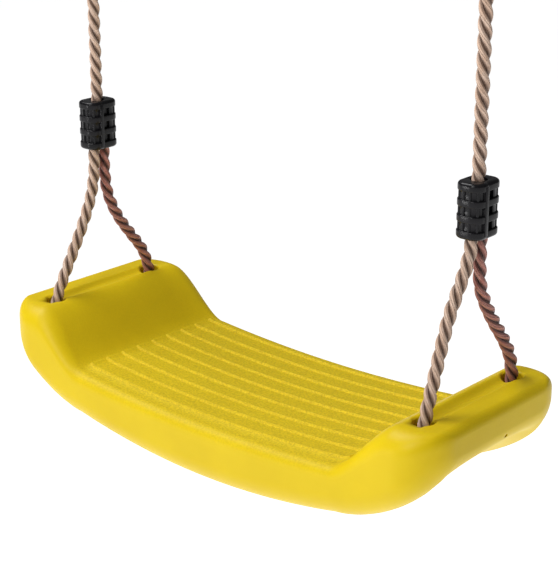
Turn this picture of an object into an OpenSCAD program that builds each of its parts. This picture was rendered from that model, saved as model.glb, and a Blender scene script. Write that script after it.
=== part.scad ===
// Hanging swing seat for children: a hollow moulded seat with raised ends,
// two three-strand ropes, and a two-shell rope clamp at each fork and at each top eye.
// The origin is on the hang line, midway between the two thimbles. X runs along the
// seat, -Y is its front and +Z is up.

/* [Seat] */
// Overall length of the seat along X
seat_length = 436; // [420:2:450]
// Depth of the seat from front to back
seat_depth = 176; // [170:1:182]
// Height from the rope hole rims down to the sitting surface at mid length
seat_drop = 49; // [46:1:51]
// Height from the rope hole rims down to the lowest point of the underside
seat_belly = 96.5; // [94:0.5:100]
// Distance from the middle of the seat to the rope holes, along X
rope_x = 190; // [188:1:192]
// Distance from the middle of the seat to the rope holes, along Y
hole_y = 54.5; // [54:0.5:55]
// Height of the anti-slip steps on the sitting surface
step_h = 1.6; // [0.8:0.2:2]
// Wall thickness of the moulded shell
wall = 3; // [2.5:0.25:3.5]

/* [Rope] */
// Diameter of the rope
rope_d = 10; // [9:0.5:10]
// Height from the hang line down to the rope hole rims
hang_h = 385; // [370:5:600]

/* [Clamp] */
// Width of a clamp along X
clamp_w = 22; // [21:0.5:24]
// Depth of a clamp along Y
clamp_d = 30; // [30:0.5:32]
// Height of a clamp
clamp_h = 40; // [39:1:41]
// Height from the rope hole rims up to the middle of a fork clamp
fork_h = 139.5; // [139:0.5:142]

/* [Thimble] */
// Radius of the bore that takes the hook or pin
bore_r = 11; // [9:0.5:12]
// Width of a thimble along X
thimble_w = 16.4; // [15:0.2:18]

/* [Hidden] */
$fn = 64;

seat_color = [0.90, 0.78, 0.12];
rope_color = [0.85, 0.68, 0.56];
clamp_color = [0.11, 0.11, 0.12];

// Seat outline and profile
half_l = seat_length / 2;
half_d = seat_depth / 2;
corner_r = 32;      // plan radius of the four corners
rise_start = 128;   // where the sitting surface starts to rise to each end
rise_end = 184;     // where the raised end begins
sag = 5.8;          // dish of the sitting surface
nose_r = 7.7;       // rounding over the top of each end
belly_x = 133;      // where the underside turns up towards the end
belly_lift = 14;    // rise of the underside up to that place
end_drop = 20;      // depth below the rims at which the end is widest
arch_h = 14;        // arch of the underside between the two holes of one end
arch_half = 64;
arch_start = 145;   // the arch grows from here, and fades out at the tip
arch_run = 40;
arch_fade = 16;
top_edge_r = 9;     // rounding of the top edges at mid length
end_edge_r = 19;    // and at the raised ends
edge_start = 125;
edge_run = 50;
low_edge_r = 19;
end_curve = 1.5;    // powers that shape the upturn of the underside
end_root = 0.62;
trough_depth = 3;   // shallow trough from hole to hole
trough_half = 8;

// Steps on the sitting surface
step_count = 9;
step_pitch = 17.6;
step_first_y = -68.5;
step_half_x = 136;  // the steps end here
step_edge = 0.6;    // half the run of one riser
step_fade = 1.5;

// Rope holes, and the slot under each end in which the rope runs across
hole_r = 8;
hole_rim_r = 2;
rope_run_z = -37.4; // middle of the rope where it runs under the end
bend_r = 22;        // middle of the rope round the bend
slot_half = 7;
slot_gap = 0.4;
bend_y = hole_y - bend_r;
bend_z = rope_run_z + bend_r;
vent_r = 1.6;       // small vent left by the moulding, in the right end

// Clamp details
clamp_corner_r = 8.5;
rim_h = 6;          // height of the two end collars
band_h = 5;         // height of the two middle bands
groove_h = (clamp_h - 2 * rim_h - 2 * band_h) / 3;
groove_depth = 1.8;
split_y = -3.5;     // plane where the two shells meet
channel_half_y = 12.4;
channel_half_x = 5.8;
mouth_r = 6.2;      // bore of the single-rope end
window_d = 7.5;     // blind windows in the flat sides
window_h = 5.8;
window_y = 0.75;
window_floor_x = 7;
lip_t = 0.5;        // raised lip on the front shell beside the joint line
lip_w = 3;
lip_end = 2.5;      // the lip stops short of each end of the clamp
tooth_h = 1;        // teeth inside that grip the rope
tooth_pitch = 5.2;
tooth_half_w = 3.5;
tooth_foot = 0.6;
knob_r = 1.1;       // upright knobs in the grooves of the round ends
knob_places = [[-7.5, 11], [-2.5, 13.2], [2.5, 13.2], [7.5, 11]];
grip = 4;           // length of rope inside a clamp's mouth

// Thimble details
groove_floor_r = 15;
flange_r = 21.5;
groove_half = 5.6;
eye_gap = 0.5;
eye_r = groove_floor_r + rope_d / 2 + eye_gap;

// Heights on the part frame
seat_z = -hang_h;
fork_z = seat_z + fork_h;
eye_mouth_z = -40;
eye_z = eye_mouth_z - clamp_h / 2;

// Routes of the rope in its own upright plane, as [y, z] from the rope hole rims.
// Each runs from the fork clamp down to the front hole, and from the rear hole back up.
front_left_route = [
    [-5.4, 123.5], [-5.5, 112], [-6.5, 98], [-10, 82], [-17, 65],
    [-26, 48], [-36.5, 30], [-46, 13.5], [-52, 1], [-54.2, -8]
];
rear_left_route = [
    [54.2, -8], [52.6, 3], [46.5, 18.5], [34, 35], [21, 52],
    [12, 68], [7, 83], [5.6, 98], [5.4, 112], [5.4, 123.5]
];
front_right_route = [
    [-5.4, 123.5], [-6.2, 112], [-11, 99], [-20, 84], [-28.5, 69],
    [-35.5, 52], [-41.5, 35], [-47, 19], [-52, 3], [-54.2, -8]
];
rear_right_route = [
    [54.2, -8], [53.2, 4], [49.5, 17], [41, 31], [27.5, 48],
    [15.5, 65], [8, 80], [5.6, 96], [5.4, 112], [5.4, 123.5]
];
// The eye, as [y, z] from the middle of the thimble, up to where it joins the groove
eye_leg_route = [[-5.4, -44], [-5.6, -37], [-8.7, -28], [-13.4, -18.5]];

// Under the end the rope follows two quarter bends and a straight run
bend_points = [for (a = [0 : 22.5 : 90]) [-bend_y - bend_r * cos(a), bend_z - bend_r * sin(a)]];
under_route = concat(bend_points, [[0, rope_run_z]], turned(bend_points));
left_route = concat(front_left_route, under_route, rear_left_route);
right_route = concat(front_right_route, under_route, rear_right_route);
eye_arc = [for (a = [-25, -6, 13, 32, 51, 70]) [-eye_r * cos(a), eye_r * sin(a)]];
eye_half = concat(eye_leg_route, eye_arc);
eye_route = concat(eye_half, [[0, eye_r]], turned(eye_half));

function turned(route) = [for (i = [len(route) - 1 : -1 : 0]) [-route[i][0], route[i][1]]];
function unit(v) = v / norm(v);
function ease(t) = let (u = min(1, max(0, t))) u * u * (3 - 2 * u);
function slope_at(route, i) =
    unit(route[min(i + 1, len(route) - 1)] - route[max(i - 1, 0)]);

// Height of the seat's surfaces and its half depth, at x
function half_depth(x) =
    abs(x) <= half_l - corner_r ? half_d
    : half_d - corner_r + sqrt(max(0, pow(corner_r, 2) - pow(abs(x) - half_l + corner_r, 2)));
function dish(x) = sag * (1 - pow(min(1, abs(x) / rise_start), 2));
function rise(x) = ease((abs(x) - rise_start) / (rise_end - rise_start));
function nose(x) =
    let (d = max(0, abs(x) - half_l + nose_r)) nose_r - sqrt(max(0, nose_r * nose_r - d * d));
function crown(x) = -dish(x) - (seat_drop - sag) * (1 - rise(x)) - nose(x);
function belly(x) =
    let (u = (abs(x) - belly_x) / (half_l - belly_x))
    u <= 0 ? -seat_belly + belly_lift * pow(x / belly_x, 2)
    : -end_drop
      - (seat_belly - belly_lift - end_drop) * pow(1 - pow(min(1, u), end_curve), end_root);
function arch(x, y) =
    arch_h * ease((abs(x) - arch_start) / arch_run) * ease((half_l - abs(x)) / arch_fade)
    * max(0, 1 - pow(y / arch_half, 2));
function edge_r(x) = top_edge_r + (end_edge_r - top_edge_r) * ease((abs(x) - edge_start) / edge_run);
function trough(x, y) =
    trough_depth * max(0, 1 - pow((abs(x) - rope_x) / trough_half, 2))
    * ease((hole_y + hole_r - abs(y)) / 10);
function step_up(x, y) =
    let (
        fade = min(1, max(0, (step_half_x - abs(x)) / step_fade)),
        run = y - step_first_y,
        part = run / step_pitch - floor(run / step_pitch + 0.001),
        riser = step_edge / step_pitch
    )
    run < 0 ? 0 : step_h * fade * (part < riser ? 0 : 1 - part);

// Places along Y of the upper surface's points: both sides of each riser
step_ys = [
    for (i = [0 : step_count - 1])
        for (side = [0, 1])
            step_first_y + i * step_pitch + side * 2 * step_edge
];
flat_half = half_d - top_edge_r;
surface_ys = concat([-flat_half], step_ys, [flat_half]);

// The closed outline of the seat in the YZ plane at x
function seat_outline(x) =
    let (
        w = half_depth(x),
        top = crown(x),
        low = belly(x),
        rt = min(edge_r(x), 0.3 * (top - low)),
        rl = min(low_edge_r, 0.5 * (top - low)),
        k = (w - rt) / flat_half
    )
    concat(
        [for (y = surface_ys) [y * k, top - trough(x, y * k) + step_up(x, y)]],
        [for (a = [67.5 : -22.5 : 0]) [w - rt + rt * cos(a), top - rt + rt * sin(a)]],
        [for (a = [0 : 22.5 : 67.5]) [w - rl + rl * cos(a), low + rl - rl * sin(a)]],
        [for (t = [1, 0.6, 0.2, -0.2, -0.6, -1]) let (y = t * (w - rl)) [y, low + arch(x, y)]],
        [for (a = [67.5 : -22.5 : 0]) [-w + rl - rl * cos(a), low + rl - rl * sin(a)]],
        [for (a = [0 : 22.5 : 67.5]) [-w + rt - rt * cos(a), top - rt + rt * sin(a)]]
    );

// The coarser outline of the hollow inside it, one wall further in
function void_outline(x) =
    let (
        w = half_depth(x) - wall,
        top = crown(x) - trough(x, 0) - wall,
        low = belly(x) + arch(x, 0) + wall,
        c = min(0.6 * low_edge_r, 0.35 * (top - low)),
        e = min(0.6 * edge_r(x), 0.35 * (top - low)),
        side = [[w - e, top], [w, top - e], [w, low + c], [w - c, low]]
    )
    concat(side, [for (i = [3 : -1 : 0]) [-side[i][0], side[i][1]]]);

// A closed solid lofted through the outlines at the given places along X
module loft(stations, rings) {
    m = len(rings[0]);
    n = len(stations);
    last = (n - 1) * m;
    points = concat(
        [for (i = [0 : n - 1]) for (p = rings[i]) [stations[i], p[0], p[1]]],
        [for (i = [0, n - 1]) [stations[i], 0, (rings[i][0][1] + rings[i][floor(m / 2)][1]) / 2]]
    );
    sides = [
        for (i = [0 : n - 2])
            for (j = [0 : m - 1])
                let (a = i * m + j, b = i * m + (j + 1) % m)
                    each [[a, b, b + m], [a, b + m, a + m]]
    ];
    ends = [
        for (j = [0 : m - 1])
            let (k = (j + 1) % m)
                each [[n * m, k, j], [n * m + 1, last + j, last + k]]
    ];
    polyhedron(points, concat(sides, ends), convexity = 8);
}

// A tube of rope that follows a route lying in a plane of constant x
module rope_tube(route, x) {
    sides = 10;
    points = [
        for (i = [0 : len(route) - 1])
            let (t = slope_at(route, i))
                for (j = [0 : sides - 1])
                    let (a = 360 * j / sides)
                        [
                            x + rope_d / 2 * cos(a),
                            route[i][0] - rope_d / 2 * sin(a) * t[1],
                            route[i][1] + rope_d / 2 * sin(a) * t[0]
                        ]
    ];
    last = (len(route) - 1) * sides;
    walls = [
        for (i = [0 : len(route) - 2])
            for (j = [0 : sides - 1])
                let (a = i * sides + j, b = i * sides + (j + 1) % sides)
                    each [[a, a + sides, b + sides], [a, b + sides, b]]
    ];
    ends = [[for (j = [0 : sides - 1]) j], [for (j = [sides - 1 : -1 : 0]) last + j]];
    polyhedron(points, concat(walls, ends), convexity = 6);
}

// The room that the rope needs under one end: two bends and the slot between them
module under_slot(x, grow) {
    floor_z = rope_run_z + rope_d / 2 + slot_gap + grow;
    turn_r = bend_r - rope_d / 2 - slot_gap - grow;
    outer_r = bend_r + rope_d / 2 + 2 * slot_gap + grow;
    translate([x - slot_half - grow, 0, 0])
        rotate([90, 0, 90])
            linear_extrude(2 * (slot_half + grow)) {
                translate([-bend_y, floor_z - 40])
                    square([2 * bend_y, 40]);
                for (side = [-1, 1])
                    difference() {
                        intersection() {
                            translate([side * bend_y, bend_z])
                                circle(outer_r);
                            translate([side > 0 ? bend_y : -bend_y - 60, bend_z - 60])
                                square([60, 60]);
                        }
                        translate([side * bend_y, bend_z])
                            circle(turn_r);
                    }
            }
}

module hole_rim() {
    rotate_extrude()
        translate([hole_r, -hole_rim_r])
            difference() {
                square([hole_rim_r, hole_rim_r + 2]);
                translate([hole_rim_r, 0])
                    circle(hole_rim_r);
            }
}

module seat_shell() {
    half_stations = concat(
        [for (i = [0 : 4]) i * rise_start / 4],
        [step_half_x - step_fade, step_half_x],
        [for (i = [1 : 6]) step_half_x + i * (rise_end - step_half_x) / 6],
        [for (i = [1 : 4]) rise_end + i * (half_l - nose_r + 2 - rise_end) / 4],
        [for (a = [25, 45, 65, 90]) half_l - nose_r + nose_r * sin(a)]
    );
    n = len(half_stations);
    stations = concat([for (i = [n - 1 : -1 : 1]) -half_stations[i]], half_stations);
    void_half = half_l - 4 * wall;
    void_stations = [for (i = [-9 : 9]) void_half * i / 9];
    color(seat_color)
        translate([0, 0, seat_z])
            difference() {
                loft(stations, [for (x = stations) seat_outline(x)]);
                difference() {
                    loft(void_stations, [for (x = void_stations) void_outline(x)]);
                    for (x = [-rope_x, rope_x]) {
                        for (y = [-hole_y, hole_y])
                            translate([x, y, bend_z - wall])
                                cylinder(r = hole_r + wall, h = -bend_z + wall);
                        under_slot(x, wall);
                    }
                    translate([half_l - 20, 8, -30])
                        rotate([0, 90, 0])
                            cylinder(r = vent_r + wall, h = 20);
                }
                for (x = [-rope_x, rope_x]) {
                    for (y = [-hole_y, hole_y]) {
                        translate([x, y, bend_z])
                            cylinder(r = hole_r, h = 1 - bend_z);
                        translate([x, y, 0])
                            hole_rim();
                    }
                    under_slot(x, 0);
                }
                translate([half_l - 24, 8, -25])
                    rotate([0, 90, 0])
                        cylinder(r = vent_r, h = 30);
            }
}

module fork_rope(route, x) {
    color(rope_color)
        translate([0, 0, seat_z])
            rope_tube(route, x);
}

module main_rope(x) {
    top_z = eye_z - clamp_h / 2 + grip;
    low_z = fork_z + clamp_h / 2 - grip;
    color(rope_color)
        translate([x, 0, low_z])
            cylinder(d = rope_d, h = top_z - low_z);
}

module eye_rope(x) {
    color(rope_color)
        rope_tube(eye_route, x);
}

// A slab with rounded corners, inset from the clamp's full outline
module slab(inset, h) {
    r = clamp_corner_r - inset;
    half_x = clamp_w / 2 - inset;
    half_y = clamp_d / 2 - inset;
    linear_extrude(h) {
        for (x = [r - half_x, half_x - r])
            for (y = [r - half_y, half_y - r])
                translate([x, y])
                    circle(r);
        square([2 * half_x, 2 * (half_y - r)], center = true);
        square([2 * (half_x - r), 2 * half_y], center = true);
    }
}

// An end collar, with its outer edge chamfered, standing up from z = 0
module collar() {
    edge = 2;
    slab(0, rim_h - edge);
    hull() {
        translate([0, 0, rim_h - edge - 0.01])
            slab(0, 0.01);
        translate([0, 0, rim_h - 0.01])
            slab(edge, 0.01);
    }
}

// The knobs of one groove, at both round ends
module knobs(z) {
    for (side = [-1, 1])
        for (p = knob_places)
            translate([p[0], side * p[1], z])
                cylinder(r = knob_r, h = groove_h + 0.4, center = true, $fn = 16);
}

// The whole clamp round its middle. The single rope enters at +Z, the two at -Z.
module clamp_solid() {
    difference() {
        union() {
            translate([0, 0, -clamp_h / 2 + 1])
                slab(groove_depth, clamp_h - 2);
            for (side = [0, 1])
                mirror([0, 0, side])
                    translate([0, 0, clamp_h / 2 - rim_h])
                        collar();
            for (side = [-1, 1])
                translate([0, 0, side * (groove_h + band_h) / 2 - band_h / 2])
                    slab(0, band_h);
            translate([-clamp_w / 2 - lip_t, split_y - lip_w, -clamp_h / 2 + lip_end])
                cube([clamp_w + 2 * lip_t, lip_w, clamp_h - 2 * lip_end]);
            for (i = [-1 : 1])
                knobs(i * (groove_h + band_h));
        }
        translate([0, 0, clamp_h / 2 - rim_h - 1])
            cylinder(r = mouth_r, h = rim_h + 2);
        translate([0, 0, -clamp_h / 2 - 1])
            linear_extrude(clamp_h - rim_h + 1) {
                for (y = [channel_half_x - channel_half_y, channel_half_y - channel_half_x])
                    translate([0, y])
                        circle(channel_half_x);
                square([2 * channel_half_x, 2 * (channel_half_y - channel_half_x)], center = true);
            }
        for (side = [-1, 1])
            for (i = [-1 : 1])
                translate([side * (window_floor_x + clamp_w / 2), window_y, i * (groove_h + band_h)])
                    cube([clamp_w, window_d, window_h], center = true);
    }
    for (side = [-1, 1])
        for (i = [-2 : 2])
            translate([-tooth_half_w, side * (channel_half_y + tooth_foot), i * tooth_pitch])
                rotate([90, 0, 90])
                    linear_extrude(2 * tooth_half_w)
                        polygon([
                            [0, -tooth_h - tooth_foot],
                            [-side * (tooth_h + tooth_foot), 0],
                            [0, tooth_h + tooth_foot]
                        ]);
}

module clamp_shell(front, x, z, upside_down) {
    color(clamp_color)
        translate([x, 0, z])
            rotate([0, upside_down ? 180 : 0, 0])
                intersection() {
                    clamp_solid();
                    translate([-20, front ? split_y - 40 : split_y, -40])
                        cube([40, 40, 80]);
                }
}

module thimble(x) {
    half_w = thimble_w / 2;
    color(clamp_color)
        translate([x, 0, 0])
            rotate([0, 90, 0])
                rotate_extrude($fn = 96)
                    polygon([
                        [bore_r, -half_w],
                        [flange_r - 1, -half_w],
                        [flange_r, -half_w + 1],
                        [flange_r, -groove_half],
                        [groove_floor_r, -groove_half],
                        [groove_floor_r, groove_half],
                        [flange_r, groove_half],
                        [flange_r, half_w - 1],
                        [flange_r - 1, half_w],
                        [bore_r, half_w]
                    ]);
}

seat_shell();
fork_rope(left_route, -rope_x);  // fork_rope_left
fork_rope(right_route, rope_x);  // fork_rope_right
main_rope(-rope_x);  // main_rope_left
main_rope(rope_x);  // main_rope_right
eye_rope(-rope_x);  // eye_rope_left
eye_rope(rope_x);  // eye_rope_right
clamp_shell(true, -rope_x, fork_z, false);  // fork_clamp_front_left
clamp_shell(false, -rope_x, fork_z, false);  // fork_clamp_rear_left
clamp_shell(true, rope_x, fork_z, false);  // fork_clamp_front_right
clamp_shell(false, rope_x, fork_z, false);  // fork_clamp_rear_right
clamp_shell(true, -rope_x, eye_z, true);  // eye_clamp_front_left
clamp_shell(false, -rope_x, eye_z, true);  // eye_clamp_rear_left
clamp_shell(true, rope_x, eye_z, true);  // eye_clamp_front_right
clamp_shell(false, rope_x, eye_z, true);  // eye_clamp_rear_right
thimble(-rope_x);  // thimble_left
thimble(rope_x);  // thimble_right
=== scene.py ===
"""The looks of a hanging swing seat: moulded seat, twisted ropes, rope clamps and thimbles.

Named lengths and the shape functions use millimetres, and MM turns them into Blender's metres.
X runs along the seat, -Y is its front, +Z is up, and the origin is on the hang line.
"""

import math

import bmesh
import bpy
import numpy as np
from mathutils import Matrix, Vector


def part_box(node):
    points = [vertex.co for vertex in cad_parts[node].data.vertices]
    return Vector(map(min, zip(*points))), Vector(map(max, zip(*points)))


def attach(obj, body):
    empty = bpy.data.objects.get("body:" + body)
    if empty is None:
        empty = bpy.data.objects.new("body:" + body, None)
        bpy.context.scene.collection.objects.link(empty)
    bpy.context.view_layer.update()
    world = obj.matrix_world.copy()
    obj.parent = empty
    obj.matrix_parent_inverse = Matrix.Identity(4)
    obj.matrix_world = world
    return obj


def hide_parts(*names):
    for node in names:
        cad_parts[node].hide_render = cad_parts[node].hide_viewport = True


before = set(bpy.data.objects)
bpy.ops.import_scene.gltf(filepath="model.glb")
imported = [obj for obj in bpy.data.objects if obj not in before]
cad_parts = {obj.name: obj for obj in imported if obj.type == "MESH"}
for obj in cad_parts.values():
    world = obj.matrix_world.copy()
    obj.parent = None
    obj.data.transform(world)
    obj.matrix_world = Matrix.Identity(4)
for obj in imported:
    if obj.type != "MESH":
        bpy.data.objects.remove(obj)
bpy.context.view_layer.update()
MM = 0.001

# ---------------------------------------------------------------- frame values

seat_low, seat_high = (np.array(corner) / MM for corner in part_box("seat_shell"))
HALF_L = (seat_high[0] - seat_low[0]) / 2
HALF_D = (seat_high[1] - seat_low[1]) / 2
RIM_Z = seat_high[2]
BELLY_DEPTH = seat_high[2] - seat_low[2]
thimble_low, thimble_high = (np.array(corner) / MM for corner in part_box("thimble_right"))
ROPE_X = (thimble_low[0] + thimble_high[0]) / 2
THIMBLE_HALF_W = (thimble_high[0] - thimble_low[0]) / 2
FLANGE_R = (thimble_high[2] - thimble_low[2]) / 2
clamp_low, clamp_high = (np.array(corner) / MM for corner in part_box("fork_clamp_rear_right"))
CLAMP_H = clamp_high[2] - clamp_low[2]
CLAMP_HALF_W = (clamp_high[0] - clamp_low[0]) / 2
CLAMP_HALF_D = clamp_high[1]
FORK_Z = (clamp_low[2] + clamp_high[2]) / 2
eye_low, eye_high = (np.array(corner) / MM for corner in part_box("eye_clamp_rear_right"))
EYE_Z = (eye_low[2] + eye_high[2]) / 2


# ---------------------------------------------------------------- camera and stage

LIGHT_DISTANCE = 2.2
FLOOR_HALF, FLOOR_DROP = 30.0, 1.1
SKY_GLOW, SKY_SEEN = 0.13, 1.0


def camera():
    """The main view: its angle, distance and lens, aimed beside the seat's middle."""
    azimuth, elevation = math.radians(41.24), math.radians(18.92)
    distance, aside, above = 1.2407, 0.0076, 0.0413
    back = Vector((
        math.sin(azimuth) * math.cos(elevation),
        -math.cos(azimuth) * math.cos(elevation),
        math.sin(elevation),
    ))
    right = Vector((math.cos(azimuth), math.sin(azimuth), 0))
    up = back.cross(right)
    data = bpy.data.cameras.new("camera")
    data.lens = 101.3
    data.sensor_width = 36
    data.clip_start, data.clip_end = 0.05, 60
    cam = bpy.data.objects.new("camera", data)
    cam.location = Vector((0, 0, RIM_Z * MM)) + back * distance + right * aside + up * above
    cam.rotation_euler = Matrix((right, up, back)).transposed().to_euler()
    bpy.context.scene.collection.objects.link(cam)
    bpy.context.scene.camera = cam


def area_light(name, azimuth, elevation, size, power):
    """A soft light that looks at the seat from an azimuth and elevation in degrees."""
    a, e = math.radians(azimuth), math.radians(elevation)
    back = Vector((math.sin(a) * math.cos(e), -math.cos(a) * math.cos(e), math.sin(e)))
    data = bpy.data.lights.new(name, "AREA")
    data.shape = "RECTANGLE"
    data.size, data.size_y = size
    data.energy = power
    light = bpy.data.objects.new(name, data)
    light.location = Vector((0, 0, RIM_Z * MM)) + back * LIGHT_DISTANCE
    light.rotation_euler = back.to_track_quat("Z", "Y").to_euler()
    light.visible_camera = False
    bpy.context.scene.collection.objects.link(light)


def stage():
    """A pale floor well below the hanging seat, a sky and soft lights.

    The sky looks white, but lights the seat only dimly, so that its sides keep their shading.
    """
    mesh = bpy.data.meshes.new("floor")
    half, drop = FLOOR_HALF, RIM_Z * MM - FLOOR_DROP
    corners = [(-half, -half, drop), (half, -half, drop), (half, half, drop), (-half, half, drop)]
    mesh.from_pydata(corners, [], [(0, 1, 2, 3)])
    floor = bpy.data.objects.new("floor", mesh)
    bpy.context.scene.collection.objects.link(floor)
    material = bpy.data.materials.new("floor")
    material.use_nodes = True
    shader = material.node_tree.nodes["Principled BSDF"]
    shader.inputs["Base Color"].default_value = (0.92, 0.92, 0.92, 1)
    shader.inputs["Roughness"].default_value = 0.9
    shader.inputs["Emission Color"].default_value = (1, 1, 1, 1)
    shader.inputs["Emission Strength"].default_value = 0.88
    mesh.materials.append(material)
    world = bpy.data.worlds.new("world")
    world.use_nodes = True
    sky = world.node_tree.nodes["Background"]
    sky.inputs["Color"].default_value = (1, 1, 1, 1)
    ray = world.node_tree.nodes.new("ShaderNodeLightPath")
    level = world.node_tree.nodes.new("ShaderNodeMath")
    level.operation = "MULTIPLY_ADD"
    level.inputs[1].default_value = SKY_SEEN - SKY_GLOW
    level.inputs[2].default_value = SKY_GLOW
    world.node_tree.links.new(ray.outputs["Is Camera Ray"], level.inputs[0])
    world.node_tree.links.new(level.outputs[0], sky.inputs["Strength"])
    bpy.context.scene.world = world
    area_light("key", 4, 36, (0.6, 1.5), 20)
    area_light("top", -66, 59, (1.2, 1.2), 35)
    area_light("side", -30, -4, (0.12, 0.6), 4.5)
    bpy.context.scene.view_settings.view_transform = "Standard"


# ---------------------------------------------------------------- material helpers


class Nodes:
    """A short way to write a material's nodes."""

    def __init__(self, name):
        self.material = bpy.data.materials.new(name)
        self.material.use_nodes = True
        self.tree = self.material.node_tree
        self.shader = self.tree.nodes["Principled BSDF"]

    def new(self, kind, **values):
        node = self.tree.nodes.new(kind)
        for key, value in values.items():
            if hasattr(node, key):
                setattr(node, key, value)
            else:
                node.inputs[key.replace("_", " ")].default_value = value
        return node

    def link(self, source, target):
        self.tree.links.new(source, target)

    def set(self, **values):
        for key, value in values.items():
            self.shader.inputs[key.replace("_", " ")].default_value = value

    def math(self, operation, a, b=0.0):
        node = self.new("ShaderNodeMath", operation=operation)
        for i, value in enumerate((a, b)):
            if isinstance(value, (int, float)):
                node.inputs[i].default_value = value
            else:
                self.link(value, node.inputs[i])
        return node.outputs[0]

    def noise(self, scale, detail=3.0, roughness=0.55):
        node = self.new("ShaderNodeTexNoise", Scale=scale, Detail=detail, Roughness=roughness)
        place = self.new("ShaderNodeTexCoord").outputs["Object"]
        self.link(place, node.inputs["Vector"])
        return node.outputs["Fac"]

    def ramp(self, value, stops):
        node = self.new("ShaderNodeValToRGB")
        self.link(value, node.inputs["Fac"])
        ramp = node.color_ramp
        while len(ramp.elements) < len(stops):
            ramp.elements.new(0.5)
        for element, (place, colour) in zip(ramp.elements, stops):
            element.position = place
            element.color = (*colour, 1)
        return node.outputs["Color"]

    def mix(self, factor, a, b):
        node = self.new("ShaderNodeMix", data_type="RGBA")
        for socket, value in ((node.inputs[0], factor), (node.inputs[6], a), (node.inputs[7], b)):
            if isinstance(value, (int, float)):
                socket.default_value = value
            elif isinstance(value, tuple):
                socket.default_value = (*value, 1)
            else:
                self.link(value, socket)
        return node.outputs[2]

    def attribute(self, name):
        return self.new("ShaderNodeAttribute", attribute_name=name).outputs["Fac"]

    def bump(self, height, distance, strength):
        node = self.new("ShaderNodeBump", Distance=distance, Strength=strength)
        self.link(height, node.inputs["Height"])
        return node.outputs["Normal"]


def seat_material():
    """Yellow moulded polyethylene: satin walls, a fine grain where one sits, slight mottling."""
    n = Nodes("seat_plastic")
    grain_mask = n.attribute("grain")
    mottle = n.noise(14.0, 4.0)
    colour = n.ramp(mottle, [(0.3, (0.70, 0.500, 0.004)), (0.7, (0.78, 0.568, 0.006))])
    speck = n.ramp(
        n.noise(620.0, 2.0), [(0.35, (0.58, 0.425, 0.012)), (0.62, (0.84, 0.625, 0.020))])
    colour = n.mix(n.math("MULTIPLY", grain_mask, 0.75), colour, speck)
    n.link(colour, n.shader.inputs["Base Color"])
    rough = n.math("ADD", n.math("MULTIPLY", grain_mask, 0.14), 0.36)
    rough = n.math("ADD", rough, n.math("MULTIPLY", n.noise(90.0, 3.0), 0.08))
    n.link(rough, n.shader.inputs["Roughness"])
    grain = n.math("MULTIPLY", n.noise(900.0, 2.0, 0.6), grain_mask)
    fine = n.math("MULTIPLY", n.noise(420.0, 3.0, 0.6), 0.18)
    n.link(n.bump(n.math("ADD", grain, fine), 0.00035, 0.8), n.shader.inputs["Normal"])
    n.set(IOR=1.5, Specular_IOR_Level=0.18, Subsurface_Weight=0.08, Subsurface_Scale=0.004)
    n.shader.inputs["Subsurface Radius"].default_value = (1.0, 0.6, 0.1)
    return n.material


def rope_material():
    """Twisted fibre: tan yarns, painted shade darkening the crevices where strands meet, and each
    stretch coloured darker and redder by its rear-leg value, as painted shade and painted warm
    reflected light.
    """
    n = Nodes("rope_fibre")
    # Painted shade and painted warm reflected light: this value colours the rear leg darker and
    # redder.
    painted_leg_shade = n.attribute("painted_leg_shade")
    # Painted shade: depth is 0 deep in the crevices between strands and 1 on their outer crowns.
    depth = n.attribute("depth")
    uv = n.new("ShaderNodeUVMap", uv_map="strand").outputs["UV"]
    split = n.new("ShaderNodeSeparateXYZ")
    n.link(uv, split.inputs[0])
    along, around = split.outputs[0], split.outputs[1]
    lean = n.math("MULTIPLY", around, 6.2832 * 9)
    phase = n.math("ADD", n.math("MULTIPLY", along, 620.0), lean)
    yarn = n.math("ADD", n.math("MULTIPLY", n.math("SINE", phase), 0.5), 0.5)
    fluff = n.noise(1500.0, 3.0, 0.65)
    # In each mix below, the second colour is the first made darker and redder, painted on the rear
    # leg as shade and warm reflected light.
    light = n.mix(painted_leg_shade, (0.68, 0.455, 0.325), (0.46, 0.165, 0.130))
    # Painted shade: the dark colour of the crevices between strands.
    painted_crevice_shade = n.mix(painted_leg_shade, (0.085, 0.038, 0.020), (0.035, 0.006, 0.004))
    patch = n.ramp(n.noise(160.0, 3.0), [(0.35, (0.0,) * 3), (0.7, (1.0,) * 3)])
    worn = n.mix(painted_leg_shade, (0.92, 0.74, 0.62), (0.68, 0.36, 0.30))
    pale = n.mix(n.math("MULTIPLY", patch, 0.5), light, worn)
    # How far each point goes from the painted crevice shade to the yarn colour, with a little yarn
    # pattern and fluff.
    shade = n.math("ADD", n.math("MULTIPLY", depth, 0.85), n.math("MULTIPLY", yarn, 0.10))
    shade = n.math("ADD", shade, n.math("MULTIPLY", fluff, 0.12))
    n.link(n.mix(shade, painted_crevice_shade, pale), n.shader.inputs["Base Color"])
    height = n.math("ADD", n.math("MULTIPLY", yarn, 0.7), n.math("MULTIPLY", fluff, 0.5))
    n.link(n.bump(height, 0.0004, 0.9), n.shader.inputs["Normal"])
    n.link(n.math("ADD", n.math("MULTIPLY", fluff, 0.2), 0.42), n.shader.inputs["Roughness"])
    n.set(Sheen_Weight=0.25, Sheen_Roughness=0.4)
    n.shader.inputs["Sheen Tint"].default_value = (1.0, 0.85, 0.75, 1)
    return n.material


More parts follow.
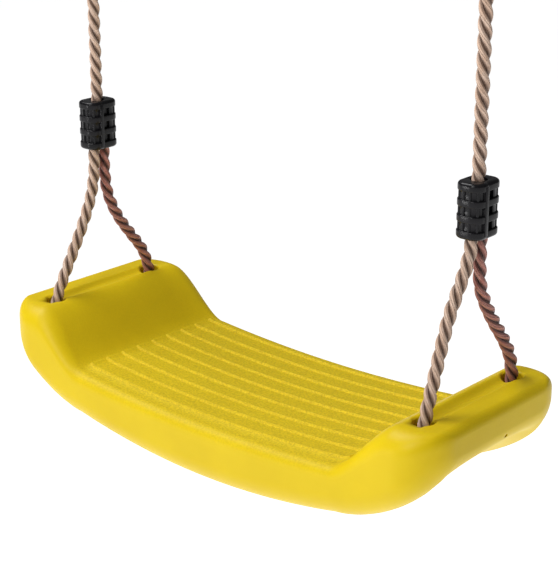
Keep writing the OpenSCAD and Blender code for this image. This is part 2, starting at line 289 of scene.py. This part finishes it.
def black_plastic(name, roughness, spread):
    """Black moulded plastic with faint flow mottling and small handling marks."""
    n = Nodes(name)
    colour = n.ramp(
        n.noise(60.0, 4.0), [(0.3, (0.005, 0.005, 0.006)), (0.75, (0.011, 0.010, 0.012))])
    n.link(colour, n.shader.inputs["Base Color"])
    marks = n.noise(240.0, 4.0, 0.6)
    n.link(n.math("ADD", n.math("MULTIPLY", marks, spread), roughness), n.shader.inputs["Roughness"])
    n.link(n.bump(n.noise(700.0, 3.0), 0.0002, 0.25), n.shader.inputs["Normal"])
    n.set(IOR=1.5, Specular_IOR_Level=0.22)
    return n.material


# ---------------------------------------------------------------- mesh helpers


def make_object(name, verts, faces, material):
    """A mesh object from points in metres."""
    mesh = bpy.data.meshes.new(name)
    mesh.from_pydata([tuple(v) for v in verts], [], faces)
    mesh.validate()
    mesh.polygons.foreach_set("use_smooth", [True] * len(mesh.polygons))
    if material is not None:
        mesh.materials.append(material)
    obj = bpy.data.objects.new(name, mesh)
    bpy.context.scene.collection.objects.link(obj)
    return obj


def ring_faces(rings, points):
    """Quads that join rows of points, each row a closed ring."""
    j = np.arange(points)
    k = (j + 1) % points
    faces = []
    for i in range(rings - 1):
        a, b = i * points, (i + 1) * points
        faces += [tuple(map(int, q)) for q in np.stack([a + j, a + k, b + k, b + j], 1)]
    return faces


def lathe_tool(radius, low, high, centre, axis="Z", sides=64):
    """A plain cylinder to cut with."""
    bm = bmesh.new()
    bmesh.ops.create_cone(
        bm, cap_ends=True, segments=sides, radius1=radius * MM, radius2=radius * MM,
        depth=(high - low) * MM)
    mesh = bpy.data.meshes.new("tool")
    bm.to_mesh(mesh)
    bm.free()
    tool = bpy.data.objects.new("tool", mesh)
    if axis == "X":
        tool.matrix_world = Matrix.Rotation(math.radians(90), 4, "Y")
        tool.location = ((low + high) / 2 * MM, centre[0] * MM, centre[1] * MM)
    else:
        tool.location = (centre[0] * MM, centre[1] * MM, (low + high) / 2 * MM)
    bpy.context.scene.collection.objects.link(tool)
    return tool


def prism_tool(outline, low_x, high_x):
    """A prism to cut with: an outline of (y, z) points, pushed along X."""
    n = len(outline)
    verts = [(x * MM, y * MM, z * MM) for x in (low_x, high_x) for y, z in outline]
    faces = [tuple(range(n))[::-1], tuple(range(n, 2 * n))]
    faces += [(i, (i + 1) % n, n + (i + 1) % n, n + i) for i in range(n)]
    mesh = bpy.data.meshes.new("tool")
    mesh.from_pydata(verts, [], faces)
    bm = bmesh.new()
    bm.from_mesh(mesh)
    bmesh.ops.recalc_face_normals(bm, faces=bm.faces)
    bm.to_mesh(mesh)
    bm.free()
    tool = bpy.data.objects.new("tool", mesh)
    bpy.context.scene.collection.objects.link(tool)
    return tool


def combine(obj, tools, operation="DIFFERENCE"):
    """Cuts the tools out of the object, or keeps or joins them, then deletes the tools."""
    for tool in tools:
        modifier = obj.modifiers.new("cut", "BOOLEAN")
        modifier.object = tool
        modifier.operation = operation
        modifier.solver = "EXACT"
    apply_modifiers(obj)
    for tool in tools:
        bpy.data.objects.remove(tool)


def apply_modifiers(obj):
    """Replaces the object's mesh with what its modifiers make of it."""
    bpy.context.view_layer.update()
    graph = bpy.context.evaluated_depsgraph_get()
    evaluated = obj.evaluated_get(graph)
    mesh = bpy.data.meshes.new_from_object(
        evaluated, preserve_all_data_layers=True, depsgraph=graph)
    obj.modifiers.clear()
    old = obj.data
    obj.data = mesh
    bpy.data.meshes.remove(old)


# ---------------------------------------------------------------- seat

CORNER_R = 32.0
RISE_START, RISE_END = 128.0, 184.0
SEAT_DROP, SAG = 49.0, 5.8
NOSE_R = 7.7
BELLY_X, BELLY_LIFT, END_DROP = 133.0, 14.0, 20.0
END_CURVE, END_ROOT = 1.5, 0.62
ARCH_H, ARCH_HALF, ARCH_START, ARCH_RUN, ARCH_FADE = 14.0, 64, 145, 40, 16
TOP_EDGE_R, END_EDGE_R, LOW_EDGE_R = 9.0, 19.0, 19.0
EDGE_START, EDGE_RUN = 125, 50
TROUGH_DEPTH, TROUGH_HALF = 3.0, 8.0
HOLE_Y, HOLE_R, RIM_R = 54.5, 8.0, 2.4
STEP_COUNT, STEP_PITCH, STEP_FIRST_Y = 9, 17.6, -68.5
STEP_H, STEP_HALF_X, STEP_FADE, RISER = 1.6, 136.0, 1.5, 0.07
ROPE_RUN_Z, BEND_R, SLOT_HALF = -37.4, 22.0, 7.0
ROPE_R, ROPE_D = 5.0, 0.010
VENT_R, VENT_Y, VENT_DROP = 1.6, 8, 25


def ease(t):
    """A soft step from 0 to 1."""
    u = np.clip(t, 0, 1)
    return u * u * (3 - 2 * u)


def half_depth(x):
    """Half the seat's depth, less where its corners are rounded."""
    past = max(0.0, abs(x) - HALF_L + CORNER_R)
    return HALF_D - CORNER_R + math.sqrt(max(0.0, CORNER_R**2 - past**2))


def crown(x):
    """Height of the upper surface above the rope hole rims, without its small features."""
    dish = SAG * (1 - min(1, abs(x) / RISE_START) ** 2)
    past = max(0.0, abs(x) - HALF_L + NOSE_R)
    nose = NOSE_R - math.sqrt(max(0.0, NOSE_R**2 - past**2))
    rise = float(ease((abs(x) - RISE_START) / (RISE_END - RISE_START)))
    return -dish - (SEAT_DROP - SAG) * (1 - rise) - nose


def belly(x):
    """Height of the underside."""
    u = (abs(x) - BELLY_X) / (HALF_L - BELLY_X)
    if u <= 0:
        return -BELLY_DEPTH + BELLY_LIFT * (x / BELLY_X) ** 2
    full = BELLY_DEPTH - BELLY_LIFT - END_DROP
    return -END_DROP - full * (1 - min(1.0, u) ** END_CURVE) ** END_ROOT


def arch(x, y):
    """Rise of the underside between the two holes of one end."""
    along = ease((abs(x) - ARCH_START) / ARCH_RUN) * ease((HALF_L - abs(x)) / ARCH_FADE)
    return ARCH_H * along * np.maximum(0, 1 - (y / ARCH_HALF) ** 2)


def edge_r(x):
    """Rounding of the top edges, wider at the raised ends."""
    return TOP_EDGE_R + (END_EDGE_R - TOP_EDGE_R) * float(ease((abs(x) - EDGE_START) / EDGE_RUN))


def trough(x, y):
    """The shallow valley along the top of an end, from hole to hole."""
    across = max(0.0, 1 - ((abs(x) - ROPE_X) / TROUGH_HALF) ** 2)
    return TROUGH_DEPTH * across**1.5 * ease((HOLE_Y + HOLE_R - np.abs(y)) / 10)


def hole_dip(x, y):
    """The soft rim of a rope hole."""
    r = np.hypot(abs(x) - ROPE_X, np.abs(y) - HOLE_Y)
    into = np.clip(HOLE_R + RIM_R - r, 0, RIM_R)
    return RIM_R - np.sqrt(np.maximum(0, RIM_R**2 - into**2))


def step_up(x, y):
    """The anti-slip steps: each rises sharply at its front and falls away to the rear."""
    fade = float(ease((STEP_HALF_X - abs(x)) / STEP_FADE))
    run = y - STEP_FIRST_Y
    part = run / STEP_PITCH - np.floor(run / STEP_PITCH + 1e-9)
    riser = ease(part / RISER)
    fall = 1 - np.clip((part - RISER) / (1 - RISER), 0, 1)
    return np.where(run < 0, 0, STEP_H * fade * riser * fall)


def seat_section(x, ys):
    """The closed outline (y, z, grain) of the seat in the YZ plane at x."""
    w, top, low = half_depth(x), crown(x), belly(x)
    rt = min(edge_r(x), 0.3 * (top - low))
    rl = min(LOW_EDGE_R, 0.5 * (top - low))
    y = ys * (w - rt) / (HALF_D - TOP_EDGE_R)
    z = top - trough(x, y) - hole_dip(x, y) + step_up(x, ys)
    upper = np.stack([y, z, np.ones(len(y))], 1)
    a = np.radians(np.linspace(90, 0, 13)[1:])
    edge = np.stack(
        [w - rt + rt * np.cos(a), top - rt + rt * np.sin(a), np.linspace(0.8, 0, 12)], 1)
    wall_z = np.linspace(top - rt, low + rl, 18)[1:]
    wall = np.stack([np.full(17, w), wall_z, np.zeros(17)], 1)
    b = np.radians(np.linspace(0, 90, 14)[1:-1])
    under = np.stack([w - rl + rl * np.cos(b), low + rl - rl * np.sin(b), np.zeros(12)], 1)
    base_y = np.linspace(1, -1, 45) * (w - rl)
    base = np.stack([base_y, low + arch(x, base_y), np.zeros(45)], 1)
    front = np.concatenate([edge, wall, under])[::-1] * (-1, 1, 1)
    return np.concatenate([upper, edge, wall, under, base, front])


def seat_stations():
    """Places along X, close together where the shape turns."""
    half = np.concatenate([
        np.arange(0, RISE_START, 4.0),
        np.arange(RISE_START, STEP_HALF_X - 2, 2.0),
        np.arange(STEP_HALF_X - 2, STEP_HALF_X + 1, 0.4),
        np.arange(STEP_HALF_X + 1, ROPE_X - 12, 1.8),
        np.arange(ROPE_X - 12, ROPE_X + 12, 0.8),
        np.linspace(ROPE_X + 12.5, HALF_L - NOSE_R, 6),
        HALF_L - NOSE_R + NOSE_R * np.sin(np.radians(np.linspace(4, 90, 20))),
    ])
    return np.concatenate([-half[:0:-1], half])


def seat_ys():
    """Places along Y on the upper surface, gathered at each riser."""
    flat = HALF_D - TOP_EDGE_R
    parts = np.array([0, 0.02, 0.04, 0.06, 0.08, 0.11, 0.18, 0.26, 0.34, 0.42, 0.5, 0.58, 0.66,
                      0.74, 0.82, 0.9, 0.96])
    ys = [STEP_FIRST_Y + (i + parts) * STEP_PITCH for i in range(STEP_COUNT)]
    ys = np.concatenate([[-flat, -flat + 2], *ys])
    return np.append(ys[ys < flat - 0.5], flat)


def under_slot_outline():
    """The (y, z) outline of the room that the rope needs under an end."""
    top = ROPE_RUN_Z + ROPE_R + 0.4
    inner, outer = BEND_R - ROPE_R - 0.4, BEND_R + ROPE_R + 0.8
    bend_y, bend_z = HOLE_Y - BEND_R, ROPE_RUN_Z + BEND_R
    a = np.radians(np.linspace(0, 90, 13))
    inside = [(-bend_y - inner * math.cos(t), bend_z - inner * math.sin(t)) for t in a]
    outside = [(-bend_y - outer * math.cos(t), bend_z - outer * math.sin(t)) for t in a]
    left = outside[::-1] + inside
    right = [(-y, z) for y, z in left[::-1]]
    low = top - 40
    return left + right + [(bend_y, low), (-bend_y, low)]


def build_seat(material):
    """The hollow seat's outside, with its rope holes, vent and the room under each end."""
    xs, ys = seat_stations(), seat_ys()
    sections = [seat_section(x, ys) for x in xs]
    count = len(sections[0])
    rows = np.concatenate([
        np.column_stack([np.full(count, x), section]) for x, section in zip(xs, sections)])
    verts = rows[:, :3] + (0, 0, RIM_Z)
    faces = ring_faces(len(xs), count)
    faces += [tuple(range(count))[::-1], tuple(range((len(xs) - 1) * count, len(xs) * count))]
    seat = make_object("seat_moulding", verts * MM, [f[::-1] for f in faces], material)
    grain = seat.data.attributes.new("grain", "FLOAT", "POINT")
    on_deck = np.clip((STEP_HALF_X + 8 - np.abs(rows[:, 0])) / 16, 0.15, 1.0)
    grain.data.foreach_set("value", (rows[:, 3] * on_deck).astype(np.float32))
    tools = []
    for side in (-1, 1):
        outline = [(y, z + RIM_Z) for y, z in under_slot_outline()]
        x = side * ROPE_X
        tools.append(prism_tool(outline, x - SLOT_HALF, x + SLOT_HALF))
        for y in (-HOLE_Y, HOLE_Y):
            low = RIM_Z + ROPE_RUN_Z + BEND_R
            tools.append(lathe_tool(HOLE_R, low, RIM_Z + 6, (x, y)))
    tools.append(lathe_tool(
        VENT_R, HALF_L - 16, HALF_L + 8, (VENT_Y, RIM_Z - VENT_DROP), axis="X", sides=24))
    combine(seat, tools)
    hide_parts("seat_shell")
    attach(seat, "seat")


# ---------------------------------------------------------------- ropes

PITCH = 35.0
STRAND_R, LAY_R = 2.5, 2.5
STRAND_SIDES = 16
RING_GAP = 1.25

# The route of each fork leg in its own upright plane, as (y, z) from the rope hole rims
FORK_FRONT_LEFT = [
    (-5.4, 123.5), (-5.5, 112), (-6.5, 98), (-10, 82), (-17, 65),
    (-26, 48), (-36.5, 30), (-46, 13.5), (-52, 1), (-54.2, -8),
]
FORK_REAR_LEFT = [
    (54.2, -8), (52.6, 3), (46.5, 18.5), (34, 35), (21, 52),
    (12, 68), (7, 83), (5.6, 98), (5.4, 112), (5.4, 123.5),
]
FORK_FRONT_RIGHT = [
    (-5.4, 123.5), (-6.2, 112), (-11, 99), (-20, 84), (-28.5, 69),
    (-35.5, 52), (-41.5, 35), (-47, 19), (-52, 3), (-54.2, -8),
]
FORK_REAR_RIGHT = [
    (54.2, -8), (53.2, 4), (49.5, 17), (41, 31), (27.5, 48),
    (15.5, 65), (8, 80), (5.6, 96), (5.4, 112), (5.4, 123.5),
]
# The eye's leg from its clamp, as (y, z) from the hang line
EYE_R = 20.5
EYE_LEG = [(-5.4, -44), (-5.6, -37), (-8.7, -28), (-13.4, -18.5)]


def turned(route):
    """The route's mirror image, run backwards."""
    return [(-y, z) for y, z in route[::-1]]


def under_route():
    """The fork rope's run under an end, from the front hole to the rear one."""
    bend_y, bend_z = HOLE_Y - BEND_R, ROPE_RUN_Z + BEND_R
    angles = np.radians(np.arange(0, 91, 22.5))
    bend = [(-bend_y - BEND_R * math.cos(a), bend_z - BEND_R * math.sin(a)) for a in angles]
    return bend + [(0, ROPE_RUN_Z)] + turned(bend)


def curve_through(route, gap=RING_GAP):
    """Evenly spaced points on a smooth curve through the route (Catmull-Rom)."""
    p = np.array(route, float)
    p = np.concatenate([[2 * p[0] - p[1]], p, [2 * p[-1] - p[-2]]])
    fine = []
    for i in range(1, len(p) - 2):
        a, b, c, d = p[i - 1:i + 3]
        t0 = 0.0
        t1 = t0 + np.linalg.norm(b - a) ** 0.5
        t2 = t1 + np.linalg.norm(c - b) ** 0.5
        t3 = t2 + np.linalg.norm(d - c) ** 0.5
        t = np.linspace(t1, t2, 40, endpoint=False)[:, None]
        ab = (t1 - t) / (t1 - t0) * a + (t - t0) / (t1 - t0) * b
        bc = (t2 - t) / (t2 - t1) * b + (t - t1) / (t2 - t1) * c
        cd = (t3 - t) / (t3 - t2) * c + (t - t2) / (t3 - t2) * d
        abc = (t2 - t) / (t2 - t0) * ab + (t - t0) / (t2 - t0) * bc
        bcd = (t3 - t) / (t3 - t1) * bc + (t - t1) / (t3 - t1) * cd
        fine.append((t2 - t) / (t2 - t1) * abc + (t - t1) / (t2 - t1) * bcd)
    fine = np.concatenate(fine + [p[-2:-1]])
    run = np.concatenate([[0], np.cumsum(np.linalg.norm(np.diff(fine, axis=0), axis=1))])
    even = np.linspace(0, run[-1], max(3, int(round(run[-1] / gap)) + 1))
    line = np.stack([np.interp(even, run, fine[:, k]) for k in (0, 1)], 1)
    return line, even


# No painted shade: the rope keeps its own colours.
def no_painted_shade(y):
    return 0.0


def rear_leg_painted_shade(y):
    """Painted shade and painted warm reflected light: 0 at the front, rising to 1 between y = -4 and
    4, so the rear leg is coloured darker and redder.
    """
    return float(ease((y + 4) / 8))


def build_rope(name, route, x, material, painted_leg_shade):
    """A three-strand rope along a route in the plane at x: returns the object, path and length."""
    line, run = curve_through(route)
    tangent = np.gradient(line, axis=0)
    tangent /= np.linalg.norm(tangent, axis=1)[:, None]
    across = np.stack([-tangent[:, 1], tangent[:, 0]], 1)
    rings = len(line)
    verts, faces, depth, painted_leg_shades, uvs = [], [], [], [], []
    around = np.linspace(0, 2 * math.pi, STRAND_SIDES, endpoint=False)
    for strand in range(3):
        turn = 2 * math.pi * (run / PITCH + strand / 3)
        cx, cn = LAY_R * np.cos(turn), LAY_R * np.sin(turn)
        a = around[None, :] + turn[:, None]
        px = cx[:, None] + STRAND_R * np.cos(a)
        pn = cn[:, None] + STRAND_R * np.sin(a)
        points = np.stack([
            x + px,
            line[:, 0, None] + pn * across[:, 0, None],
            line[:, 1, None] + pn * across[:, 1, None],
        ], 2)
        start = len(verts)
        verts += points.reshape(-1, 3).tolist()
        faces += [tuple(start + i for i in f) for f in ring_faces(rings, STRAND_SIDES)]
        first = list(range(start, start + STRAND_SIDES))
        last = list(range(start + (rings - 1) * STRAND_SIDES, start + rings * STRAND_SIDES))
        faces += [tuple(first[::-1]), tuple(last)]
        # Painted shade mask: how far out from the rope's axis each strand point lies, 0 in the
        # crevices between strands, 1 on the crowns.
        radius = np.hypot(px, pn) / (LAY_R + STRAND_R)
        depth += np.clip((radius - 0.70) / 0.28, 0, 1).ravel().tolist()
        # Painted shade and painted warm reflected light on the rear leg, one value per ring.
        painted_leg_shades += np.repeat([painted_leg_shade(y) for y, _ in line], STRAND_SIDES).tolist()
        u = np.repeat(run[:, None] * MM, STRAND_SIDES, 1)
        v = np.repeat(around[None, :] / (2 * math.pi), rings, 0)
        uvs += np.stack([u, v], 2).reshape(-1, 2).tolist()
    rope = make_object(name, np.array(verts) * MM, faces, material)
    for label, values in (("depth", depth), ("painted_leg_shade", painted_leg_shades)):
        attribute = rope.data.attributes.new(label, "FLOAT", "POINT")
        attribute.data.foreach_set("value", np.array(values, np.float32))
    layer = rope.data.uv_layers.new(name="strand")
    corner = np.zeros(len(rope.data.loops), np.int32)
    rope.data.loops.foreach_get("vertex_index", corner)
    layer.data.foreach_set("uv", np.array(uvs, np.float32)[corner].ravel())
    path = [(x * MM, y * MM, z * MM) for y, z in line[::4]]
    if (len(line) - 1) % 4:
        path.append((x * MM, line[-1][0] * MM, line[-1][1] * MM))
    return rope, path, run[-1] * MM


def raised(route, z):
    return [(y, h + z) for y, h in route]


def place_rope(kind, side, body, route, x, material, painted_leg_shade=no_painted_shade):
    rope, path, length = build_rope(f"{kind}_rope_twist_{side}", route, x, material, painted_leg_shade)
    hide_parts(f"{kind}_rope_{side}")
    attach(rope, body)


def build_ropes(material):
    """On each side the fork rope, the main rope between the clamps, and the eye."""
    mouth = CLAMP_H / 2
    grip = 4.0
    turns = np.radians([-25, -6, 13, 32, 51, 70])
    half_eye = EYE_LEG + [(-EYE_R * math.cos(a), EYE_R * math.sin(a)) for a in turns]
    eye = half_eye + [(0, EYE_R)] + turned(half_eye)
    main = [(0, EYE_Z - mouth + grip), (0, (EYE_Z + FORK_Z) / 2), (0, FORK_Z + mouth - grip)]
    for side, x, front, rear in (
        ("left", -ROPE_X, FORK_FRONT_LEFT, FORK_REAR_LEFT),
        ("right", ROPE_X, FORK_FRONT_RIGHT, FORK_REAR_RIGHT),
    ):
        fork = raised(front + under_route() + rear, RIM_Z)
        # The fork rope's rear leg gets painted shade and painted warm reflected light.
        place_rope("fork", side, "seat", fork, x, material, rear_leg_painted_shade)
        place_rope("main", side, f"rope_{side}", main, x, material)
        place_rope("eye", side, f"eye_{side}", eye, x, material)


# ---------------------------------------------------------------- clamps

COLLAR_H, BAND_H, GROOVE_IN, CLAMP_CORNER_R = 6.0, 5.0, 1.8, 8.5
SPLIT_Y, LIP_T, LIP_W, LIP_END = -3.5, 0.5, 3.0, 2.5
CHANNEL_HALF_X, CHANNEL_HALF_Y, MOUTH_R = 5.8, 12.4, 6.2
WINDOW_Y, WINDOW_D, WINDOW_H, WINDOW_FLOOR_X = 0.75, 7.5, 5.8, 7.0
KNOB_R, KNOB_PLACES = 1.1, ((-7.5, 11.0), (-2.5, 13.2), (2.5, 13.2), (7.5, 11.0))
TOOTH_H, TOOTH_PITCH, TOOTH_HALF_W = 1.6, 5.2, 3.5
GROOVE_H = (CLAMP_H - 2 * COLLAR_H - 2 * BAND_H) / 3


def clamp_profile():
    """Heights and insets of the clamp's outside, from its middle up to its top."""
    half, soft, edge = CLAMP_H / 2, 0.7, 2.4
    band_low = GROOVE_H / 2
    band_top = band_low + BAND_H
    collar_low = band_top + GROOVE_H
    turn = np.linspace(0, math.pi / 2, 5)
    lift = [(soft * (1 - math.cos(t)), soft * (1 - math.sin(t))) for t in turn]
    points = [(0, GROOVE_IN), (band_low - 0.2, GROOVE_IN)]
    points += [(band_low + up, inset) for up, inset in lift]
    points += [(band_top - up, inset) for up, inset in lift[::-1]]
    points += [(band_top + 0.2, GROOVE_IN), (collar_low - 0.2, GROOVE_IN)]
    points += [(collar_low + up, inset) for up, inset in lift]
    for t in np.linspace(0, math.pi / 2, 8):
        points.append((half - edge + edge * math.sin(t), edge * (1 - math.cos(t))))
    return points


def rounded_outline(half_x, half_y, r, steps=12):
    """Points round a rectangle with rounded corners."""
    a = np.linspace(0, math.pi / 2, steps)
    corner = np.stack([r * np.cos(a), r * np.sin(a)], 1)
    quarters = []
    for k in range(4):
        turn = k * math.pi / 2
        c, t = round(math.cos(turn)), round(math.sin(turn))
        turned_corner = corner @ np.array([[c, t], [-t, c]])
        signs = ((1, 1), (-1, 1), (-1, -1), (1, -1))[k]
        quarters.append(turned_corner + np.array(signs) * (half_x - r, half_y - r))
    outline = np.concatenate(quarters)
    gaps = np.linalg.norm(np.roll(outline, -1, 0) - outline, axis=1)
    return outline[gaps > 1e-6]


def solid_from_rings(name, rings, material):
    """A closed solid through rings of (x, y, z) points, in millimetres."""
    count = len(rings[0])
    faces = ring_faces(len(rings), count)
    last = (len(rings) - 1) * count
    faces += [tuple(range(count))[::-1], tuple(range(last, last + count))]
    return make_object(name, np.concatenate(rings) * MM, faces, material)


def clamp_outside(name, material):
    """A whole clamp's outside, through one rounded outline at each height."""
    up = clamp_profile()
    profile = [(-z, inset) for z, inset in up[::-1]] + up[1:]
    rings = []
    for z, inset in profile:
        outline = rounded_outline(
            CLAMP_HALF_W - inset, CLAMP_HALF_D - inset, CLAMP_CORNER_R - inset)
        rings.append(np.column_stack([outline, np.full(len(outline), z)]))
    return solid_from_rings(name, rings, material)


def box_tool(low, high):
    """A box to cut or join with, from its two corners."""
    (ax, ay, az), (bx, by, bz) = low, high
    outline = [(ay, az), (by, az), (by, bz), (ay, bz)]
    return prism_tool(outline, ax, bx)


def channel_tool():
    """The flat-sided hollow for two ropes, open at the lower end."""
    outline = rounded_outline(CHANNEL_HALF_X, CHANNEL_HALF_Y, CHANNEL_HALF_X)
    rings = [
        np.column_stack([outline, np.full(len(outline), z)])
        for z in (-CLAMP_H / 2 - 2, CLAMP_H / 2 - COLLAR_H)
    ]
    return solid_from_rings("tool", rings, None)


def add_details(obj, front):
    """Joins the groove knobs and the rope teeth of one shell to its mesh."""
    bm = bmesh.new()
    bm.from_mesh(obj.data)
    sign = -1 if front else 1
    for groove in (-1, 0, 1):
        for x, y in KNOB_PLACES:
            place = [c * MM for c in (x, sign * y, groove * (GROOVE_H + BAND_H))]
            size = (KNOB_R * MM, KNOB_R * MM, (GROOVE_H / 2 + 0.2) * MM, 1)
            bmesh.ops.create_cone(
                bm, cap_ends=True, segments=20, radius1=1, radius2=1, depth=2,
                matrix=Matrix.Translation(place) @ Matrix.Diagonal(size))
    for row in range(-2, 3):
        z, wall = row * TOOTH_PITCH, sign * (CHANNEL_HALF_Y + 0.6)
        profile = [(wall, z - TOOTH_H), (wall - sign * TOOTH_H, z), (wall, z + TOOTH_H)]
        ends = [[bm.verts.new((x * MM, y * MM, h * MM)) for y, h in profile]
                for x in (-TOOTH_HALF_W, TOOTH_HALF_W)]
        bm.faces.new(ends[0])
        bm.faces.new(ends[1][::-1])
        for i in range(3):
            k = (i + 1) % 3
            bm.faces.new((ends[0][i], ends[1][i], ends[1][k], ends[0][k]))
    bmesh.ops.recalc_face_normals(bm, faces=bm.faces)
    bm.to_mesh(obj.data)
    bm.free()


def smooth_by_angle(obj, degrees):
    """Shades the mesh smooth, but keeps edges sharper than the angle."""
    bm = bmesh.new()
    bm.from_mesh(obj.data)
    limit = math.radians(degrees)
    for face in bm.faces:
        face.smooth = True
    for edge in bm.edges:
        if len(edge.link_faces) == 2:
            edge.smooth = edge.calc_face_angle(0) < limit
    bm.to_mesh(obj.data)
    bm.free()


def clamp_half(front, material):
    """One shell of a clamp about the clamp's own middle."""
    shell = clamp_outside("clamp_half", material)
    half = CLAMP_H / 2
    lip_x = CLAMP_HALF_W + LIP_T
    lip = box_tool((-lip_x, SPLIT_Y - LIP_W, -half + LIP_END), (lip_x, SPLIT_Y, half - LIP_END))
    if front:
        combine(shell, [lip], "UNION")
    else:
        bpy.data.objects.remove(lip)
    tools = [channel_tool(), lathe_tool(MOUTH_R, half - COLLAR_H - 1, half + 2, (0, 0))]
    for side in (-1, 1):
        for row in (-1, 0, 1):
            z = row * (GROOVE_H + BAND_H)
            xs = sorted((side * WINDOW_FLOOR_X, side * (CLAMP_HALF_W + 3)))
            tools.append(box_tool(
                (xs[0], WINDOW_Y - WINDOW_D / 2, z - WINDOW_H / 2),
                (xs[1], WINDOW_Y + WINDOW_D / 2, z + WINDOW_H / 2)))
    if front:
        tools.append(box_tool((-20, SPLIT_Y, -40), (20, 40, 40)))
    else:
        tools.append(box_tool((-20, -40, -40), (20, SPLIT_Y + 0.05, 40)))
    combine(shell, tools)
    bevel = shell.modifiers.new("bevel", "BEVEL")
    bevel.width = 0.25 * MM
    bevel.segments = 2
    bevel.limit_method = "ANGLE"
    bevel.angle_limit = math.radians(50)
    apply_modifiers(shell)
    add_details(shell, front)
    smooth_by_angle(shell, 35)
    return shell


def build_clamps(material):
    """Each shell is shaped once, then copied to its four places."""
    for front, part in ((True, "front"), (False, "rear")):
        pattern = clamp_half(front, material)
        for place, z, turned_over in (("fork", FORK_Z, False), ("eye", EYE_Z, True)):
            for side, x in (("left", -ROPE_X), ("right", ROPE_X)):
                turn = Matrix.Rotation(math.pi if turned_over else 0, 4, "Y")
                mesh = pattern.data.copy()
                mesh.transform(Matrix.Translation((x * MM, 0, z * MM)) @ turn)
                clamp = bpy.data.objects.new(f"{place}_clamp_moulding_{part}_{side}", mesh)
                bpy.context.scene.collection.objects.link(clamp)
                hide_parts(f"{place}_clamp_{part}_{side}")
                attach(clamp, f"clamp_{side}" if place == "fork" else f"eye_{side}")
        bpy.data.objects.remove(pattern)


# ---------------------------------------------------------------- thimbles

BORE_R, GROOVE_FLOOR_R, GROOVE_HALF = 11.0, 15.0, 5.6


def build_thimbles(material):
    """Spools with rounded flanges, a rounded groove floor and a softened bore."""
    half, r = THIMBLE_HALF_W, 1.2
    quarter = np.linspace(0, math.pi / 2, 6)
    side = [(BORE_R, half - 0.8), (BORE_R + 0.25, half - 0.25), (BORE_R + 0.8, half)]
    side += [(FLANGE_R - r + r * math.sin(t), half - r + r * math.cos(t)) for t in quarter]
    side += [(FLANGE_R, GROOVE_HALF + 0.5), (FLANGE_R - 0.5, GROOVE_HALF)]
    side += [(GROOVE_FLOOR_R, GROOVE_HALF), (GROOVE_FLOOR_R, 0)]
    profile = side + [(radius, -x) for radius, x in side[-2::-1]]
    steps = 96
    rings = []
    for radius, x in profile:
        a = np.linspace(0, 2 * math.pi, steps, endpoint=False)
        rings.append(np.column_stack([np.full(steps, x), radius * np.cos(a), radius * np.sin(a)]))
    count = len(rings)
    for name, x in (("left", -ROPE_X), ("right", ROPE_X)):
        points = np.concatenate(rings) + (x, 0, 0)
        faces = [
            tuple((i % count) * steps + j for i, j in corner)
            for i in range(count) for k in range(steps)
            for corner in [((i, k), (i + 1, k), (i + 1, (k + 1) % steps), (i, (k + 1) % steps))]
        ]
        thimble = make_object(f"thimble_moulding_{name}", points * MM, faces, material)
        bm = bmesh.new()
        bm.from_mesh(thimble.data)
        bmesh.ops.recalc_face_normals(bm, faces=bm.faces)
        bm.to_mesh(thimble.data)
        bm.free()
        smooth_by_angle(thimble, 35)
        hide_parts(f"thimble_{name}")
        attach(thimble, "hangers")


camera()
stage()
build_ropes(rope_material())
build_seat(seat_material())
build_clamps(black_plastic("clamp_plastic", 0.16, 0.14))
build_thimbles(black_plastic("thimble_plastic", 0.32, 0.16))
